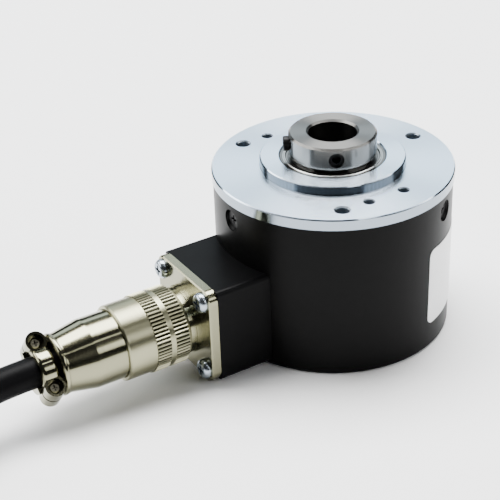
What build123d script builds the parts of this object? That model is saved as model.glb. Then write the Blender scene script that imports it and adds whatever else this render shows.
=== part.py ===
from build123d import *

import os
from math import cos, degrees, pi, radians, sin, tan

# Hollow shaft rotary encoder, in millimetres.
# The origin is on the shaft axis, level with the flange's mounting face. +Z points to the
# clamping collar and the cable connector leaves towards -X.

# Clearances
fit_gap = 0.02  # radial, between fixed pieces that slide together when assembled
running_gap = 0.05  # radial, between pieces that turn or slide in each other
guard_gap = 0.3  # radial or axial, between moving pieces that never guide each other
edge_break = 0.3  # chamfer on turned edges

# Flange, pilot and housing
flange_d = 60.0
flange_t = 3.0
pilot_d = 36.0
pilot_h = 2.2
housing_d = 59.4
housing_wall = 2.0
housing_floor = 2.5
body_depth = 43.0
housing_edge_r = 0.8
spigot_depth = 11.0
carrier_wall = 3.5
carrier_lip = 1.5

# Fixing holes in the flange
m4_count = 3
m4_pcd = 50.0
m4_core_r = 1.65
m4_mouth_r = 2.0
m4_depth = 8.0
m3_pcd = 45.0
m3_spread = 13.0
m3_core_r = 1.25
m3_mouth_r = 1.5
m3_depth = 7.0

# Hollow shaft and its clamping collar
bore_d = 12.0
collar_d = 21.8
collar_top = 8.5
collar_h = 5.9
shoulder_d = 18.8
shaft_tail_d = 16.0
shaft_recess = 0.5
bore_chamfer = 0.5
clamp_screw_core_r = 1.9
clamp_screw_length = 4.0
clamp_screw_z = 5.55
clamp_screw_a_angle = -120.0
clamp_screw_b_angle = 150.0
clamp_screw_a_tip = 6.15
clamp_screw_b_tip = 8.15
clamp_socket_across = 2.0

# Ball bearings
bearing_id = 17.0
bearing_od = 26.0
bearing_w = 5.0
bearing_recess = 0.3
bearing_ring_t = 1.35
ball_r = 1.3
ball_count = 9
ball_gap = 0.03
cage_t = 1.0
cage_rim = 0.35
shield_t = 0.25
shield_recess = 0.25
shield_bite = 0.35
preload_washer_t = 0.2
preload_height = 0.6
retaining_ring_t = 1.0
retaining_ring_d = 19.6
retaining_ring_opening = 5.0
retaining_groove_depth = 0.4

# Code disc and its hub
hub_drop = 0.6
hub_collar_h = 2.2
hub_seat_d = 26.0
hub_collar_step = 1.0
hub_seat_width = 2.5
hub_seat_t = 1.4
disc_d = 41.0
disc_t = 1.0
disc_clamp_t = 1.0
hub_screw_r = 0.8
hub_screw_recess = 0.8
hub_screw_angle = 90.0

# Light source, mask and receiver
head_radius = 18.8
emitter_r = 1.5
emitter_h = 5.2
emitter_rim_t = 0.8
emitter_rim_r = 1.9
emitter_recess = 0.4
emitter_leg_r = 0.25
emitter_leg_spread = 2.54
emitter_leg_rise = 1.0
emitter_leg_reach = 24.2
emitter_leg_bend_r = 0.8
holder_width = 11.0
holder_depth = 5.6
holder_air = 0.6
holder_screw_r = 1.0
holder_screw_spread = 7.6
holder_screw_length = 6.0
holder_slot_width = 4.2
holder_slot_h = 5.6
mask_size = 7.0
mask_t = 0.7
mask_air = 0.4
receiver_size = 6.4
receiver_h = 3.7

# Circuit board
board_room = 10.5
board_t = 1.6
board_d = 53.0
board_hole_d = 22.0
standoff_radius = 23.4
standoff_across = 5.0
standoff_angles = (30.0, 150.0, 270.0)
board_screw_r = 1.25
board_screw_length = 6.0
stud_r = 1.25
stud_length = 3.0
header_length = 3.4
header_width = 14.0
header_h = 3.0
header_reach = 21.0
ribbon_width = 12.0
ribbon_t = 0.9
ribbon_bend_r = 3.0
driver_length = 10.0
driver_width = 6.0
driver_x = 7.0
driver_y = -17.0
comparator_length = 8.0
comparator_width = 5.0
comparator_x = 4.0
comparator_y = 19.0
chip_t = 1.6
regulator_length = 4.0
regulator_width = 6.5
regulator_t = 1.8
regulator_x = 19.0
capacitor_r = 2.5
capacitor_h = 5.4
capacitor_x = -12.0
capacitor_y = 18.0

# Housing screws
housing_screw_angles = (60.0, 180.0, 300.0)
housing_screw_z = -7.0
housing_screw_r = 1.25
housing_screw_head_r = 2.2
housing_screw_hole_r = 2.7
housing_screw_sink = 0.35
housing_screw_length = 7.0

# Connector block
block_reach = 41.5
block_width = 25.0
block_h = 24.8
connector_rise = 13.5
block_edge_r = 1.2
block_bore_r = 9.4
block_screw_r = 1.25
block_screw_head_r = 2.3
block_screw_head_h = 1.6
block_screw_length = 6.6
block_screw_spread = 17.0
block_screw_sink = 0.7
window_width = 15.0
window_h = 13.0

# Panel socket of the connector
plate_size = 25.0
plate_t = 2.3
plate_corner_r = 2.8
plate_screw_spread = 18.8
plate_screw_r = 1.25
plate_screw_head_r = 2.4
plate_screw_head_h = 1.7
plate_screw_length = 7.0
socket_rear_r = 9.2
socket_rear_length = 6.5
barrel_shown = 3.1
barrel_r = 8.55
barrel_step_r = 8.3
barrel_step_length = 1.4
thread_r = 8.0
socket_bore_r = 7.2
socket_tail_bore_r = 8.0
insert_t = 4.5
insert_overhang = 0.5
pin_count = 7
pin_circle_r = 4.4
pin_r = 0.5
pin_reach = 5.4
pin_tail = 4.0

# Coupling nut
nut_length = 16.5
nut_r = 9.4
nut_nose_r = 8.76
nut_nose_length = 0.9
knurl_r = 9.75
knurl_depth = 0.42
knurl_width = 3.65
knurl_band_gap = 1.3
knurl_teeth = 64
nut_band_r = 9.6
nut_thread_depth = 9.15
nut_shoulder_t = 1.6

# Cable plug
plug_entry = 0.5
plug_barrel_r = 7.1
plug_barrel_bore_r = 6.3
plug_collar_t = 1.6
plug_collar_r = 7.95
plug_thread_r = 7.5
plug_insert_recess = 0.4
plug_lock_ring_t = 0.8
plug_lock_ring_opening = 3.0
plug_lock_ring_r = 8.3
plug_lock_groove = 0.45
plug_thread_length = 5.0
plug_insert_t = 8.0
contact_r = 0.9
contact_length = 11.0
shell_r = 8.5
shell_front_gap = 0.4
shell_cylinder = 7.1
shell_cone = 7.0
shell_nose_r = 7.2
shell_rim_r = 7.4
shell_rim_t = 1.0
shell_wall = 1.7
bush_length = 4.0
bush_r = 5.6
bush_lip_r = 4.3

# Cable clamp
clamp_length = 6.0
clamp_waist = 4.2
clamp_boss_r = 2.5
clamp_boss_offset = 5.75
clamp_boss_h = 3.7
clamp_arch_r = 5.3
clamp_split = 0.25
clamp_tilt = 39.0
clamp_bolt_r = 1.0
clamp_bolt_head_r = 1.4
clamp_bolt_head_h = 1.1
clamp_bolt_length = 4.4
clamp_bolt_recess = 2.4
clamp_pocket_r = 1.85
clamp_rounding = 1.0

# Cable
cable_d = 7.5
jacket_setback = 2.0
coil_turn_r = 43.0
tie_width = 4.6
tie_t = 1.1
tie_angle = 160.0
cable_end_angle = 60.0
hump_start_angle = -60.0
lead_r = 0.6
lead_circle_r = 2.0
lead_length = 30.0

# Label
label_half_angle = 73.5
label_top = -15.0
label_h = 21.0
label_t = 0.12
label_corner_r = 2.0

# Heights that follow from the sizes above
front_bearing_top = pilot_h - bearing_recess
ledge_top = front_bearing_top - bearing_w
board_z = housing_floor + board_room - body_depth
board_bottom = board_z - board_t
mask_top = board_z + receiver_h + mask_t
disc_bottom = mask_top + mask_air
disc_top = disc_bottom + disc_t
hub_bottom = disc_bottom - disc_clamp_t
hub_top = disc_top + hub_seat_t + hub_collar_h
holder_bottom = disc_top + holder_air
rear_bearing_bottom = hub_top + hub_drop + retaining_ring_t
rear_bearing_top = rear_bearing_bottom + bearing_w
ledge_bottom = rear_bearing_top + preload_height
carrier_bottom = rear_bearing_bottom - carrier_lip
shaft_bottom = -body_depth + shaft_recess
connector_z = connector_rise - body_depth

# Radii that follow
housing_r = housing_d / 2
housing_inner_r = housing_r - housing_wall
spigot_r = housing_inner_r - fit_gap
bearing_seat_r = bearing_od / 2 + fit_gap
ledge_r = bearing_od / 2 - bearing_ring_t + shield_bite
carrier_r = bearing_seat_r + carrier_wall
shaft_seat_r = bearing_id / 2 - fit_gap
bore_r = bore_d / 2
pitch_r = (bearing_id + bearing_od) / 4
cable_r = cable_d / 2

# Stations along the connector's axis, counted from the shaft's axis
plate_face = block_reach + plate_t
nut_front = plate_face + barrel_shown
nut_rear = nut_front + nut_length
nut_shoulder_front = nut_front + nut_thread_depth
plug_collar_rear = nut_shoulder_front - running_gap
plug_collar_front = plug_collar_rear - plug_collar_t
socket_end = plug_collar_front - running_gap
plug_front = nut_front + plug_entry
lock_ring_front = nut_shoulder_front + nut_shoulder_t + running_gap
lock_ring_rear = lock_ring_front + plug_lock_ring_t
shell_front = lock_ring_rear + shell_front_gap
cone_start = nut_rear + shell_cylinder
cone_end = cone_start + shell_cone
shell_end = cone_end + shell_rim_t
clamp_mid = shell_end + clamp_length / 2
clamp_end = shell_end + clamp_length
insert_rear = block_reach - insert_overhang
insert_front = insert_rear + insert_t


def radial(angle, radius, height):
    """A plane facing outwards from the shaft's axis, x up the shaft."""
    out = Vector(cos(radians(angle)), sin(radians(angle)), 0)
    return Plane(origin=out * radius + Vector(0, 0, height), x_dir=(0, 0, 1), z_dir=out)


def facing(station):
    """A plane across the connector's axis that faces the cable, y up."""
    return Plane(origin=(-station, 0, connector_z), x_dir=(0, -1, 0), z_dir=(-1, 0, 0))


def turned(outline, plane, axis):
    """A turned piece: a closed outline in the plane, revolved about the axis."""
    with BuildPart() as piece:
        with BuildSketch(plane):
            with BuildLine():
                Polyline(*outline, close=True)
            make_face()
        revolve(axis=axis)
    return piece


def screw(head_r, head_h, shank_r, length, recess_r, flat_head=False):
    """A cross-recess screw along Z: its head seats at z = 0, or lies below it if it is flat."""
    seat = -head_h if flat_head else 0
    top = 0 if flat_head else head_h
    crown = head_r * 0.72
    with BuildPart() as piece:
        with BuildSketch(Plane.XZ):
            with BuildLine():
                if flat_head:
                    Polyline((0, top), (head_r, top), (shank_r, seat), (shank_r, -length))
                else:
                    Polyline((0, top), (crown, top))
                    ThreePointArc(
                        (crown, top), (head_r * 0.94, top * 0.7), (head_r, seat)
                    )
                    Polyline((head_r, seat), (shank_r, seat), (shank_r, -length))
                Polyline((shank_r, -length), (0, -length), (0, top))
            make_face()
        revolve(axis=Axis.Z)
        with BuildSketch(Plane.XY.offset(top)):
            Rectangle(2 * recess_r, recess_r * 0.5)
            Rectangle(recess_r * 0.5, 2 * recess_r)
        extrude(amount=-head_h * 0.6, mode=Mode.SUBTRACT)
    return piece.part


def set_screw(angle, tip, name):
    """A hexagon-socket set screw in the collar, its tip at the given radius."""
    with BuildPart() as piece:
        with BuildSketch(radial(angle, tip, clamp_screw_z)):
            Circle(clamp_screw_core_r - running_gap)
        extrude(amount=clamp_screw_length)
        with BuildSketch(radial(angle, tip + clamp_screw_length, clamp_screw_z)):
            RegularPolygon(clamp_socket_across / 2, 6, major_radius=False)
        extrude(amount=-clamp_screw_length / 2, mode=Mode.SUBTRACT)
        rim = piece.edges().filter_by(GeomType.CIRCLE)
        chamfer(rim, edge_break / 2)
    finish(piece, name)


def finish(piece, name):
    """Label a finished piece and write it as one STEP file."""
    piece.part.label = name
    export_step(piece.part, f"parts/{name}.step")


os.makedirs("parts", exist_ok=True)
connector_axis = Axis((0, 0, connector_z), (-1, 0, 0))
connector_plane = Plane(origin=(0, 0, connector_z), x_dir=(-1, 0, 0), z_dir=(0, 1, 0))

# Front flange: mounting disc, pilot, spigot for the housing and carrier tube for both bearings
with BuildPart() as front_flange:
    with BuildSketch(Plane.XZ):
        with BuildLine():
            Polyline(
                (bearing_seat_r, pilot_h),
                (pilot_d / 2, pilot_h),
                (pilot_d / 2, 0),
                (flange_d / 2, 0),
                (flange_d / 2, -flange_t),
                (spigot_r, -flange_t),
                (spigot_r, -spigot_depth),
                (carrier_r, -spigot_depth),
                (carrier_r, carrier_bottom),
                (bearing_seat_r, carrier_bottom),
                (bearing_seat_r, ledge_bottom),
                (ledge_r, ledge_bottom),
                (ledge_r, ledge_top),
                (bearing_seat_r, ledge_top),
                close=True,
            )
        make_face()
    revolve(axis=Axis.Z)
    rims = front_flange.edges().filter_by(GeomType.CIRCLE)
    chamfer(rims.filter_by_position(Axis.Z, pilot_h, pilot_h), edge_break)
    chamfer(
        rims.filter_by(lambda edge: abs(edge.radius - flange_d / 2) < fit_gap), edge_break
    )
    with PolarLocations(m4_pcd / 2, m4_count):
        CounterSinkHole(m4_core_r, m4_mouth_r, m4_depth, 90)
    for side in (90, -90):
        with PolarLocations(m3_pcd / 2, 2, side - m3_spread, 4 * m3_spread):
            CounterSinkHole(m3_core_r, m3_mouth_r, m3_depth, 90)
    with Locations(*[radial(a, spigot_r, housing_screw_z) for a in housing_screw_angles]):
        Hole(housing_screw_r + fit_gap, housing_screw_length)
    with Locations(Plane.XY.offset(-spigot_depth)):
        with Locations(
            *[Pos(standoff_radius * cos(radians(a)), standoff_radius * sin(radians(a)))
              for a in standoff_angles]
        ):
            Cylinder(
                stud_r + fit_gap,
                stud_length,
                align=(Align.CENTER, Align.CENTER, Align.MIN),
                mode=Mode.SUBTRACT,
            )
        with Locations((head_radius + holder_depth / 4, 0)):
            with GridLocations(1, holder_screw_spread, 1, 2):
                Cylinder(
                    holder_screw_r + fit_gap,
                    stud_length,
                    align=(Align.CENTER, Align.CENTER, Align.MIN),
                    mode=Mode.SUBTRACT,
                )
finish(front_flange, "front_flange")

# Housing: deep drawn cup with a rear hole for the shaft, a wire window and screw holes
rear_hole_r = shaft_tail_d / 2 + guard_gap
block_screw_seat = housing_inner_r - block_screw_sink
through_wall = 3 * housing_wall
with BuildPart() as housing:
    with BuildSketch(Plane.XZ):
        with BuildLine():
            Polyline(
                (housing_r, -flange_t),
                (housing_r, -body_depth),
                (rear_hole_r, -body_depth),
                (rear_hole_r, -body_depth + housing_floor),
                (housing_inner_r, -body_depth + housing_floor),
                (housing_inner_r, -flange_t),
                close=True,
            )
        make_face()
    revolve(axis=Axis.Z)
    rear_rims = housing.edges().filter_by(GeomType.CIRCLE)
    rear_rims = rear_rims.filter_by_position(Axis.Z, -body_depth, -body_depth)
    fillet(rear_rims.sort_by(lambda edge: edge.radius)[-1], housing_edge_r)
    with Locations(
        *[radial(a, housing_r - housing_screw_sink, housing_screw_z)
          for a in housing_screw_angles]
    ):
        CounterSinkHole(
            housing_screw_r + fit_gap, housing_screw_hole_r, 2 * housing_wall, 90
        )
        Cylinder(
            housing_screw_hole_r,
            housing_wall,
            align=(Align.CENTER, Align.CENTER, Align.MIN),
            mode=Mode.SUBTRACT,
        )
    with BuildSketch(facing(housing_r - through_wall / 2)):
        Rectangle(window_width, window_h)
    extrude(amount=through_wall, mode=Mode.SUBTRACT)
    with BuildSketch(facing(block_screw_seat)):
        with GridLocations(block_screw_spread, plate_screw_spread, 2, 2):
            Circle(block_screw_r + fit_gap)
    extrude(amount=through_wall, mode=Mode.SUBTRACT)
    with BuildSketch(facing(block_screw_seat - through_wall)):
        with GridLocations(block_screw_spread, plate_screw_spread, 2, 2):
            Circle(block_screw_head_r + guard_gap)
    extrude(amount=through_wall, mode=Mode.SUBTRACT)
finish(housing, "housing")

# Countersunk screws that hold the housing on the spigot
housing_screw_seat = housing_screw_hole_r - housing_screw_head_r - fit_gap
housing_screw_top = housing_r - housing_screw_sink - housing_screw_seat
countersunk = screw(
    housing_screw_head_r,
    housing_screw_head_r - housing_screw_r,
    housing_screw_r,
    housing_screw_length,
    housing_screw_head_r / 2,
    flat_head=True,
)
with BuildPart() as housing_screws:
    with Locations(
        *[radial(a, housing_screw_top, housing_screw_z) for a in housing_screw_angles]
    ):
        add(countersunk)
finish(housing_screws, "housing_screws")

# Label: a thin wrapped sheet opposite the connector
with BuildPart() as label:
    with BuildSketch(Plane.XZ.rotated((0, 0, -label_half_angle))):
        with Locations((housing_r + fit_gap, label_top)):
            Rectangle(label_t, label_h, align=(Align.MIN, Align.MAX))
    revolve(axis=Axis.Z, revolution_arc=2 * label_half_angle)
    fillet(label.edges().filter_by(lambda edge: edge.length < 2 * label_t), label_corner_r)
finish(label, "label")

# Connector block: moulded block that fits the round housing and carries the panel socket
block_x = facing(block_reach)
with BuildPart() as connector_block:
    with BuildSketch(block_x):
        RectangleRounded(block_width, block_h, block_edge_r)
    extrude(amount=-(block_reach - housing_inner_r + housing_wall))
    with BuildSketch(block_x):
        Circle(block_bore_r)
    extrude(amount=-block_reach, mode=Mode.SUBTRACT)
    with BuildSketch(block_x):
        with GridLocations(plate_screw_spread, plate_screw_spread, 2, 2):
            Circle(plate_screw_r + fit_gap)
    extrude(amount=-(plate_screw_length - plate_t + guard_gap), mode=Mode.SUBTRACT)
    with BuildSketch(facing(block_screw_seat)):
        with GridLocations(block_screw_spread, plate_screw_spread, 2, 2):
            Circle(block_screw_r + fit_gap)
    extrude(amount=block_screw_length + guard_gap, mode=Mode.SUBTRACT)
    Cylinder(housing_r + fit_gap, 4 * body_depth, mode=Mode.SUBTRACT)
finish(connector_block, "connector_block")

# Screws that hold the block, driven from inside the housing
block_screw = screw(
    block_screw_head_r,
    block_screw_head_h,
    block_screw_r,
    block_screw_length,
    block_screw_head_r / 2,
)
inward = Plane(
    origin=(-block_screw_seat, 0, connector_z), x_dir=(0, 1, 0), z_dir=(1, 0, 0)
)
with BuildPart() as block_screws:
    with Locations(inward):
        with GridLocations(block_screw_spread, plate_screw_spread, 2, 2):
            add(block_screw)
finish(block_screws, "block_screws")

# Hollow shaft with its clamping collar, bearing seats and retaining groove
collar_bottom = collar_top - collar_h
groove_r = shaft_seat_r - retaining_groove_depth
ring_bottom = rear_bearing_bottom - retaining_ring_t
tail_r = shaft_tail_d / 2
with BuildPart() as hollow_shaft:
    with BuildSketch(Plane.XZ):
        with BuildLine():
            Polyline(
                (bore_r, collar_top),
                (collar_d / 2, collar_top),
                (collar_d / 2, collar_bottom),
                (shoulder_d / 2, collar_bottom),
                (shoulder_d / 2, front_bearing_top),
                (shaft_seat_r, front_bearing_top),
                (shaft_seat_r, rear_bearing_bottom),
                (groove_r, rear_bearing_bottom),
                (groove_r, ring_bottom),
                (shaft_seat_r, ring_bottom),
                (shaft_seat_r, hub_top),
                (tail_r, hub_top),
                (tail_r, shaft_bottom),
                (bore_r, shaft_bottom),
                close=True,
            )
        make_face()
    revolve(axis=Axis.Z)
    for end in (collar_top, collar_bottom, shaft_bottom):
        rims = hollow_shaft.edges().filter_by(GeomType.CIRCLE)
        rims = rims.filter_by_position(Axis.Z, end, end)
        chamfer(rims.filter_by(lambda edge: edge.radius != shoulder_d / 2), bore_chamfer)
    with Locations(
        radial(clamp_screw_a_angle, collar_d / 2, clamp_screw_z),
        radial(clamp_screw_b_angle, collar_d / 2, clamp_screw_z),
    ):
        Hole(clamp_screw_core_r, collar_d / 2 - 0.9 * bore_r)
finish(hollow_shaft, "hollow_shaft")
set_screw(clamp_screw_a_angle, clamp_screw_a_tip, "set_screw_a")
set_screw(clamp_screw_b_angle, clamp_screw_b_tip, "set_screw_b")


def bearing(name, top):
    """A shielded ball bearing with its upper face at the given height, as five pieces."""
    half = bearing_w / 2
    section = Plane(origin=(0, 0, top - half), x_dir=(1, 0, 0), z_dir=(0, -1, 0))
    inner_land = bearing_id / 2 + bearing_ring_t
    outer_land = bearing_od / 2 - bearing_ring_t
    groove = ball_r + ball_gap
    shield_depth = shield_recess + shield_t
    with BuildPart() as outer_ring:
        with BuildSketch(section):
            with Locations((outer_land + bearing_ring_t / 2, 0)):
                Rectangle(bearing_ring_t, bearing_w)
            with Locations((pitch_r, 0)):
                Circle(groove, mode=Mode.SUBTRACT)
            for side in (-1, 1):
                with Locations((outer_land, side * (half - shield_depth / 2))):
                    Rectangle(2 * shield_bite, shield_depth, mode=Mode.SUBTRACT)
        revolve(axis=Axis.Z)
    with BuildPart() as inner_ring:
        with BuildSketch(section):
            with Locations((inner_land - bearing_ring_t / 2, 0)):
                Rectangle(bearing_ring_t, bearing_w)
            with Locations((pitch_r, 0)):
                Circle(groove, mode=Mode.SUBTRACT)
        revolve(axis=Axis.Z)
    with BuildPart() as balls:
        with Locations((0, 0, top - half)):
            with PolarLocations(pitch_r, ball_count):
                Sphere(ball_r)
    with BuildPart() as cage:
        with BuildSketch(section):
            with Locations((pitch_r, 0)):
                Rectangle(cage_t, 2 * (ball_r + ball_gap + cage_rim))
        revolve(axis=Axis.Z)
        with Locations((0, 0, top - half)):
            with PolarLocations(pitch_r, ball_count):
                Cylinder(
                    ball_r + 2 * ball_gap,
                    2 * cage_t,
                    rotation=(0, 90, 0),
                    mode=Mode.SUBTRACT,
                )
    with BuildPart() as shields:
        with BuildSketch(section):
            for side in (-1, 1):
                with Locations((0, side * (half - shield_recess - shield_t / 2))):
                    with Locations((inner_land + 2 * running_gap, 0)):
                        Rectangle(
                            outer_land + shield_bite - inner_land - 3 * running_gap,
                            shield_t,
                            align=(Align.MIN, Align.CENTER),
                        )
        revolve(axis=Axis.Z)
    finish(outer_ring, f"{name}_outer_ring")
    finish(inner_ring, f"{name}_inner_ring")
    finish(balls, f"{name}_balls")
    finish(cage, f"{name}_cage")
    finish(shields, f"{name}_shields")


bearing("front_bearing", front_bearing_top)
bearing("rear_bearing", rear_bearing_top)

# Spacer between the two inner rings
bearing_spacer = turned(
    [
        (bearing_id / 2, ledge_top),
        (bearing_id / 2 + bearing_ring_t, ledge_top),
        (bearing_id / 2 + bearing_ring_t, rear_bearing_top),
        (bearing_id / 2, rear_bearing_top),
    ],
    Plane.XZ,
    Axis.Z,
)
finish(bearing_spacer, "bearing_spacer")

# Curved spring washer that preloads the rear outer ring, bent about one line
washer_r = bearing_od / 2 - running_gap
washer_bow = preload_height - preload_washer_t
with BuildPart() as preload_washer:
    with BuildSketch(Plane.XZ):
        with BuildLine():
            ThreePointArc(
                (-washer_r, ledge_bottom - washer_bow),
                (0, ledge_bottom),
                (washer_r, ledge_bottom - washer_bow),
            )
            ThreePointArc(
                (-washer_r, ledge_bottom - preload_height),
                (0, ledge_bottom - preload_washer_t),
                (washer_r, ledge_bottom - preload_height),
            )
            for side in (-washer_r, washer_r):
                Line((side, ledge_bottom - washer_bow), (side, ledge_bottom - preload_height))
        make_face()
    extrude(amount=washer_r, both=True)
    with BuildSketch(Plane.XY.offset(ledge_bottom)):
        Circle(washer_r)
        Circle(ledge_r, mode=Mode.SUBTRACT)
    extrude(amount=-2 * preload_height, mode=Mode.INTERSECT)
finish(preload_washer, "preload_washer")

# Retaining ring in the shaft groove, with its two pliers lugs
lug_r = retaining_ring_d / 2 - groove_r
with BuildPart() as retaining_ring:
    with BuildSketch(Plane.XY.offset(ring_bottom)):
        Circle(retaining_ring_d / 2)
        for side in (-1, 1):
            with Locations((groove_r + lug_r, side * (retaining_ring_opening / 2 + lug_r))):
                Circle(lug_r)
        with Locations((groove_r, 0)):
            Rectangle(
                3 * lug_r,
                retaining_ring_opening,
                align=(Align.MIN, Align.CENTER),
                mode=Mode.SUBTRACT,
            )
        with Locations((groove_r / 2, 0)):
            Rectangle(groove_r, retaining_ring_opening, mode=Mode.SUBTRACT)
        for side in (-1, 1):
            with Locations((groove_r + lug_r, side * (retaining_ring_opening / 2 + lug_r))):
                Circle(lug_r / 3, mode=Mode.SUBTRACT)
        Circle(groove_r + fit_gap, mode=Mode.SUBTRACT)
    extrude(amount=retaining_ring_t)
finish(retaining_ring, "retaining_ring")

# Disc hub: collar with a set screw, seat for the glass disc and centring sleeve
hub_bore_r = tail_r + fit_gap
hub_sleeve_r = hub_seat_d / 2 - hub_seat_width
hub_collar_r = hub_seat_d / 2 - hub_collar_step
hub_screw_end = hub_collar_r - hub_screw_recess
hub_screw_height = hub_top - hub_collar_h / 2
with BuildPart() as disc_hub:
    with BuildSketch(Plane.XZ):
        with BuildLine():
            Polyline(
                (hub_bore_r, hub_top),
                (hub_collar_r, hub_top),
                (hub_collar_r, hub_top - hub_collar_h),
                (hub_seat_d / 2, hub_top - hub_collar_h),
                (hub_seat_d / 2, disc_top),
                (hub_sleeve_r, disc_top),
                (hub_sleeve_r, hub_bottom),
                (hub_bore_r, hub_bottom),
                close=True,
            )
        make_face()
    revolve(axis=Axis.Z)
    with Locations(radial(hub_screw_angle, hub_collar_r, hub_screw_height)):
        Hole(hub_screw_r + fit_gap, hub_collar_r - 0.9 * hub_bore_r)
finish(disc_hub, "disc_hub")

with BuildPart() as disc_hub_screw:
    with BuildSketch(radial(hub_screw_angle, hub_bore_r, hub_screw_height)):
        Circle(hub_screw_r)
    extrude(amount=hub_screw_end - hub_bore_r)
    with BuildSketch(radial(hub_screw_angle, hub_screw_end, hub_screw_height)):
        RegularPolygon(hub_screw_r / 2, 6)
    extrude(amount=-hub_screw_r, mode=Mode.SUBTRACT)
finish(disc_hub_screw, "disc_hub_screw")

# Glass code disc and the ring that clamps it on the hub
disc_bore_r = hub_sleeve_r + fit_gap
code_disc = turned(
    [
        (disc_bore_r, disc_top),
        (disc_d / 2, disc_top),
        (disc_d / 2, disc_bottom),
        (disc_bore_r, disc_bottom),
    ],
    Plane.XZ,
    Axis.Z,
)
finish(code_disc, "code_disc")
disc_clamp_ring = turned(
    [
        (disc_bore_r, disc_bottom),
        (hub_seat_d / 2, disc_bottom),
        (hub_seat_d / 2, hub_bottom),
        (disc_bore_r, hub_bottom),
    ],
    Plane.XZ,
    Axis.Z,
)
finish(disc_clamp_ring, "disc_clamp_ring")

# Holder of the light source, hung from the spigot over the edge of the disc
holder_in = carrier_r + guard_gap
holder_screw_x = head_radius + holder_depth / 4
holder_head_r = 1.8 * holder_screw_r
emitter_bottom = holder_bottom + emitter_recess
emitter_top = emitter_bottom + emitter_h
with BuildPart() as emitter_holder:
    with BuildSketch(Plane.XY.offset(holder_bottom)):
        with Locations((holder_in, 0)):
            Rectangle(holder_depth, holder_width, align=(Align.MIN, Align.CENTER))
    extrude(amount=-spigot_depth - holder_bottom)
    with BuildSketch(Plane.XY.offset(emitter_top - emitter_rim_t)):
        with Locations((holder_in, 0)):
            Rectangle(
                3 * holder_depth, holder_slot_width, align=(Align.CENTER, Align.CENTER)
            )
    extrude(amount=holder_slot_h, mode=Mode.SUBTRACT)
    with BuildSketch(Plane.XY.offset(holder_bottom)):
        with Locations((head_radius, 0)):
            Circle(emitter_r + fit_gap)
    extrude(amount=emitter_h, mode=Mode.SUBTRACT)
    with BuildSketch(Plane.XY.offset(-spigot_depth)):
        with Locations((holder_screw_x, 0)):
            with GridLocations(1, holder_screw_spread, 1, 2):
                Circle(holder_screw_r + fit_gap)
    extrude(amount=holder_bottom + spigot_depth, mode=Mode.SUBTRACT)
    with BuildSketch(Plane.XY.offset(-spigot_depth + stud_length - holder_screw_length)):
        with Locations((holder_screw_x, 0)):
            with GridLocations(1, holder_screw_spread, 1, 2):
                Circle(holder_head_r + 2 * running_gap)
    extrude(amount=holder_bottom + spigot_depth, mode=Mode.SUBTRACT)
finish(emitter_holder, "emitter_holder")

holder_screw = screw(
    holder_head_r,
    holder_screw_r,
    holder_screw_r,
    holder_screw_length - guard_gap,
    holder_screw_r,
)
with BuildPart() as emitter_holder_screws:
    with Locations(
        Plane(
            origin=(holder_screw_x, 0, -spigot_depth + stud_length - holder_screw_length),
            x_dir=(1, 0, 0),
            z_dir=(0, 0, -1),
        )
    ):
        with GridLocations(1, holder_screw_spread, 1, 2):
            add(holder_screw)
finish(emitter_holder_screws, "emitter_holder_screws")

# Light source: a domed lamp, lens down, with two legs that reach the board
with BuildPart() as emitter:
    with BuildSketch(Plane.XY.offset(emitter_top - emitter_rim_t)):
        with Locations((head_radius, 0)):
            Circle(emitter_rim_r)
    extrude(amount=emitter_rim_t)
    with BuildSketch(Plane.XY.offset(emitter_bottom)):
        with Locations((head_radius, 0)):
            Circle(emitter_r)
    extrude(amount=emitter_h)
    dome = emitter.edges().filter_by(GeomType.CIRCLE)
    fillet(dome.filter_by_position(Axis.Z, emitter_bottom, emitter_bottom), 0.8 * emitter_r)
    for side in (-1, 1):
        leg = Plane.XZ.offset(side * emitter_leg_spread / 2)
        with BuildLine(leg) as leg_path:
            FilletPolyline(
                (head_radius, emitter_top - emitter_rim_t / 2),
                (head_radius, emitter_top + emitter_leg_rise),
                (emitter_leg_reach, emitter_top + emitter_leg_rise),
                (emitter_leg_reach, board_z),
                radius=emitter_leg_bend_r,
            )
        with BuildSketch(Plane(origin=leg_path.line @ 0, z_dir=(0, 0, 1))):
            Circle(emitter_leg_r)
        sweep(path=leg_path.line)
finish(emitter, "emitter")

# Mask of fine lines, and the receiver that looks up through it and the disc
with BuildPart() as mask:
    with Locations((head_radius, 0, mask_top)):
        Box(
            mask_size,
            mask_size,
            mask_t,
            align=(Align.CENTER, Align.CENTER, Align.MAX),
        )
finish(mask, "mask")
with BuildPart() as receiver:
    with Locations((head_radius, 0, board_z)):
        Box(
            receiver_size,
            receiver_size,
            receiver_h,
            align=(Align.CENTER, Align.CENTER, Align.MIN),
        )
    chamfer(receiver.edges().group_by(Axis.Z)[-1], edge_break)
finish(receiver, "receiver")

# Circuit board on three standoffs under the disc
standoff_places = [
    (standoff_radius * cos(radians(a)), standoff_radius * sin(radians(a)))
    for a in standoff_angles
]
with BuildPart() as circuit_board:
    with BuildSketch(Plane.XY.offset(board_bottom)):
        Circle(board_d / 2)
        Circle(board_hole_d / 2, mode=Mode.SUBTRACT)
        with Locations(*standoff_places):
            Circle(board_screw_r + running_gap, mode=Mode.SUBTRACT)
    extrude(amount=board_t)
finish(circuit_board, "circuit_board")

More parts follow.
